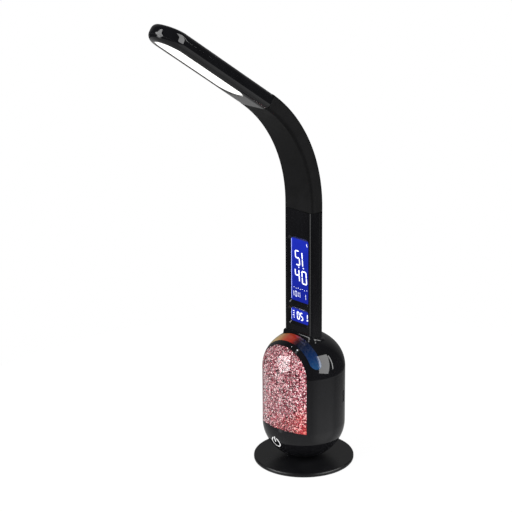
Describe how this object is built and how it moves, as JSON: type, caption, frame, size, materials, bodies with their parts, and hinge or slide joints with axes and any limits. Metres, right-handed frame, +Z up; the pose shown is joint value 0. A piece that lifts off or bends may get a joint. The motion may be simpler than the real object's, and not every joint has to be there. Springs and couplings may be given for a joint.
{
  "type": "desk lamp",
  "caption": "Desk lamp with a capsule body, a glitter light window, a clock column, a flexible neck and a flat light head",
  "frame": {"origin": "centre of the underside of the foot, on the surface that the lamp stands on", "axes": "+Z up along the column, -Y the front with the light head and the displays, +X the right side seen from behind the head"},
  "size_m": [0.1136, 0.2587, 0.5213],
  "materials": {
    "pad": "matt soft foam rubber",
    "disc_black": "satin to gloss black paint on a steel disc",
    "steel": "zinc-plated screw",
    "iron": "plain cast weight",
    "body_graphite": "gloss near-black plastic that reflects grey",
    "gloss_black": "high-gloss black plastic",
    "clear_cover": "clear polished plastic cover",
    "glitter": "coarse glitter film, lit pink and red from behind",
    "white_plastic": "white reflector plastic",
    "white_board": "white solder mask",
    "colour_led": "light-emitting diode package",
    "green_board": "green circuit board",
    "chip_black": "moulded component packages",
    "socket_black": "moulded socket",
    "port_steel": "plated steel port shell",
    "strip_colour": "gloss strip printed and lit with a colour range, yellow through red and violet to blue",
    "copper": "thin touch-sensing foil",
    "symbol_white": "white inlay",
    "plate_steel": "bare steel",
    "link_alloy": "bare light alloy",
    "column_black": "gloss black plastic with grey edge highlights",
    "lcd_blue": "blue backlit display glass",
    "backlight": "light guide",
    "cell_steel": "coin cell",
    "button_black": "satin black key",
    "sleeve_rubber": "matt black rubber sleeve",
    "pin_steel": "turned pin",
    "panel_white": "milky light diffuser",
    "white_led": "light-emitting diode package"
  },
  "bodies": {
    "base": {"foot_pad": "pad", "foot_disc": "disc_black", "base_screws": "steel", "ballast": "iron", "body_shell": "body_graphite", "dome_cover": "gloss_black", "glitter_window": "clear_cover", "glitter_sheet": "glitter", "light_box": "white_plastic", "rgb_board": "white_board", "rgb_lights": "colour_led", "main_board": "green_board", "board_parts": "chip_black", "board_screws": "steel", "power_inlet": "socket_black", "usb_port": "port_steel", "touch_strip": "strip_colour", "touch_foil": "copper", "power_symbol": "symbol_white", "column_plate": "plate_steel", "mount_screws": "steel", "column_collar": "gloss_black", "column_front": "column_black", "column_back": "column_black", "column_screws": "steel", "main_display": "lcd_blue", "lower_display": "lcd_blue", "display_backlight": "backlight", "clock_board": "green_board", "clock_switches": "chip_black", "clock_cell": "cell_steel", "neck_root": "plate_steel", "neck_sleeve": "sleeve_rubber", "neck_pin_1": "pin_steel"},
    "mode_button": {"mode_button": "button_black"},
    "up_button": {"up_button": "button_black"},
    "down_button": {"down_button": "button_black"},
    "link_1": {"neck_link_1": "link_alloy", "neck_pin_2": "pin_steel"},
    "link_2": {"neck_link_2": "link_alloy", "neck_pin_3": "pin_steel"},
    "link_3": {"neck_link_3": "link_alloy", "neck_pin_4": "pin_steel"},
    "link_4": {"neck_link_4": "link_alloy", "neck_pin_5": "pin_steel"},
    "link_5": {"neck_link_5": "link_alloy", "neck_pin_6": "pin_steel"},
    "head": {"neck_tip": "link_alloy", "head_housing": "gloss_black", "head_bezel": "gloss_black", "light_panel": "panel_white", "light_tray": "white_plastic", "head_board": "white_board", "head_lights": "white_led", "head_screws": "steel"}
  },
  "joints": [
    {"name": "neck_hinge_1", "type": "hinge", "parent": "base", "child": "link_1", "pos_m": [0, -0.00017, 0.3073], "axis": [1, 0, 0], "range_deg": [-9.2, 9], "deforming": ["neck_sleeve"]},
    {"name": "neck_hinge_2", "type": "hinge", "parent": "link_1", "child": "link_2", "pos_m": [0, -0.00363, 0.33322], "axis": [1, 0, 0], "range_deg": [-9.2, 9], "deforming": ["neck_sleeve"]},
    {"name": "neck_hinge_3", "type": "hinge", "parent": "link_2", "child": "link_3", "pos_m": [0, -0.01141, 0.35819], "axis": [1, 0, 0], "range_deg": [-9.2, 9], "deforming": ["neck_sleeve"]},
    {"name": "neck_hinge_4", "type": "hinge", "parent": "link_3", "child": "link_4", "pos_m": [0, -0.02332, 0.38147], "axis": [1, 0, 0], "range_deg": [-9.2, 9], "deforming": ["neck_sleeve"]},
    {"name": "neck_hinge_5", "type": "hinge", "parent": "link_4", "child": "link_5", "pos_m": [0, -0.03899, 0.40241], "axis": [1, 0, 0], "range_deg": [-9.2, 9], "deforming": ["neck_sleeve"]},
    {"name": "neck_hinge_6", "type": "hinge", "parent": "link_5", "child": "head", "pos_m": [0, -0.05797, 0.42039], "axis": [1, 0, 0], "range_deg": [-9.2, 9], "deforming": ["neck_sleeve"]},
    {"name": "mode_button_press", "type": "slide", "parent": "base", "child": "mode_button", "axis": [0, -1, 0], "range_m": [0, 0.0005], "stiffness_N_per_m": 800},
    {"name": "up_button_press", "type": "slide", "parent": "base", "child": "up_button", "axis": [0, -1, 0], "range_m": [0, 0.0005], "stiffness_N_per_m": 800},
    {"name": "down_button_press", "type": "slide", "parent": "base", "child": "down_button", "axis": [0, -1, 0], "range_m": [0, 0.0005], "stiffness_N_per_m": 800}
  ]
}
